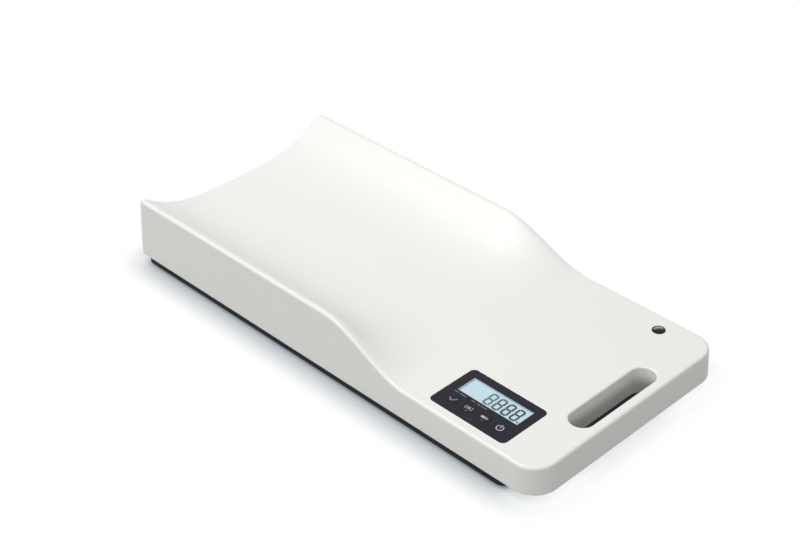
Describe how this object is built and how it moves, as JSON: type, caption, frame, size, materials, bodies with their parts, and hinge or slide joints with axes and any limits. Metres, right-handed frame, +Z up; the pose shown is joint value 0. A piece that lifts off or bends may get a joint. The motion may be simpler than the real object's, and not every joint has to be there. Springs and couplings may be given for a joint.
{
  "type": "digital baby weighing scale",
  "caption": "Flat baby scale: a raised-sided lying tray that runs into a console with a display, keys, a spirit level and a carrying slot, on a low base with screw feet.",
  "frame": {"origin": "on the surface the scale stands on, under the middle of its bounding box", "axes": "+X along the tray from the open end to the handle, -Y towards the user and the display, +Z up"},
  "size_m": [0.63, 0.296, 0.0852],
  "materials": {
    "white_tray": "smooth, softly glossy warm white",
    "dark_base": "fine matte charcoal",
    "steel": "zinc plated",
    "aluminium": "milled",
    "sealant": "white silicone",
    "brass_insert": "turned",
    "pad_rubber": "soft matte",
    "foot_grey": "moulded",
    "battery_sleeve": "satin sleeve",
    "panel_black": "dark, smooth",
    "window_clear": "clear",
    "lcd": "pale blue liquid-crystal glass",
    "lightbox_white": "white",
    "key_black": "dark satin",
    "dark_part": "moulded black",
    "board_green": "solder mask",
    "lead_grey": "soft grey jacket",
    "wire_red": "red jacket",
    "level_black": "dark",
    "level_clear": "smoked clear",
    "level_air": "bubble"
  },
  "bodies": {
    "scale_body": {"tray_shell": "white_tray", "tray_frame": "steel", "tray_screws": "steel", "load_cell": "aluminium", "gauge_seals": "sealant", "cell_spacer_upper": "steel", "cell_spacer_lower": "steel", "cell_bolts_upper": "steel", "cell_bolts_lower": "steel", "base_frame": "steel", "base_pan": "dark_base", "base_screws": "steel", "overload_stops": "steel", "foot_inserts": "brass_insert", "battery_cells": "battery_sleeve", "battery_contacts": "steel", "display_panel": "panel_black", "display_window": "window_clear", "lcd_glass": "lcd", "lcd_lightbox": "lightbox_white", "key_switches": "dark_part", "main_board": "board_green", "board_parts": "dark_part", "board_screws": "steel", "buzzer": "dark_part", "cell_lead": "lead_grey", "battery_wires": "wire_red", "level_cup": "level_black", "level_lens": "level_clear", "level_bubble": "level_air"},
    "foot_1_pad": {"foot_pad_1": "pad_rubber"},
    "foot_1_stem": {"foot_screw_1": "foot_grey"},
    "foot_2_pad": {"foot_pad_2": "pad_rubber"},
    "foot_2_stem": {"foot_screw_2": "foot_grey"},
    "foot_3_pad": {"foot_pad_3": "pad_rubber"},
    "foot_3_stem": {"foot_screw_3": "foot_grey"},
    "foot_4_pad": {"foot_pad_4": "pad_rubber"},
    "foot_4_stem": {"foot_screw_4": "foot_grey"},
    "battery_cover": {"battery_door": "dark_base"},
    "cap_confirm": {"key_confirm": "key_black"},
    "cap_hold": {"key_hold": "key_black"},
    "cap_feed": {"key_feed": "key_black"},
    "cap_power": {"key_power": "key_black"}
  },
  "joints": [
    {"name": "foot_1_lift", "type": "slide", "parent": "scale_body", "child": "foot_1_pad", "axis": [0, 0, -1], "range_m": [0, 0.008]},
    {"name": "foot_1_turn", "type": "hinge", "parent": "foot_1_pad", "child": "foot_1_stem", "pos_m": [-0.267, -0.112, 0.003], "axis": [0, 0, -1], "range_deg": [0, 2300]},
    {"name": "foot_2_lift", "type": "slide", "parent": "scale_body", "child": "foot_2_pad", "axis": [0, 0, -1], "range_m": [0, 0.008]},
    {"name": "foot_2_turn", "type": "hinge", "parent": "foot_2_pad", "child": "foot_2_stem", "pos_m": [-0.267, 0.112, 0.003], "axis": [0, 0, -1], "range_deg": [0, 2300]},
    {"name": "foot_3_lift", "type": "slide", "parent": "scale_body", "child": "foot_3_pad", "axis": [0, 0, -1], "range_m": [0, 0.008]},
    {"name": "foot_3_turn", "type": "hinge", "parent": "foot_3_pad", "child": "foot_3_stem", "pos_m": [0.241, -0.112, 0.003], "axis": [0, 0, -1], "range_deg": [0, 2300]},
    {"name": "foot_4_lift", "type": "slide", "parent": "scale_body", "child": "foot_4_pad", "axis": [0, 0, -1], "range_m": [0, 0.008]},
    {"name": "foot_4_turn", "type": "hinge", "parent": "foot_4_pad", "child": "foot_4_stem", "pos_m": [0.241, 0.112, 0.003], "axis": [0, 0, -1], "range_deg": [0, 2300]},
    {"name": "battery_cover_hinge", "type": "hinge", "parent": "scale_body", "child": "battery_cover", "pos_m": [0.23355, 0, 0.0057], "axis": [0, -1, 0], "range_deg": [0, 75]},
    {"name": "press_confirm", "type": "slide", "parent": "scale_body", "child": "cap_confirm", "axis": [0, 0, -1], "range_m": [0, 0.0005], "stiffness_N_per_m": 3000, "springref_m": -0.0003},
    {"name": "press_hold", "type": "slide", "parent": "scale_body", "child": "cap_hold", "axis": [0, 0, -1], "range_m": [0, 0.0005], "stiffness_N_per_m": 3000, "springref_m": -0.0003},
    {"name": "press_feed", "type": "slide", "parent": "scale_body", "child": "cap_feed", "axis": [0, 0, -1], "range_m": [0, 0.0005], "stiffness_N_per_m": 3000, "springref_m": -0.0003},
    {"name": "press_power", "type": "slide", "parent": "scale_body", "child": "cap_power", "axis": [0, 0, -1], "range_m": [0, 0.0005], "stiffness_N_per_m": 3000, "springref_m": -0.0003}
  ],
  "couplings": [
    {"joint": "foot_1_lift", "follows": "foot_1_turn", "m_per_rad": 0.00019894},
    {"joint": "foot_2_lift", "follows": "foot_2_turn", "m_per_rad": 0.00019894},
    {"joint": "foot_3_lift", "follows": "foot_3_turn", "m_per_rad": 0.00019894},
    {"joint": "foot_4_lift", "follows": "foot_4_turn", "m_per_rad": 0.00019894}
  ]
}
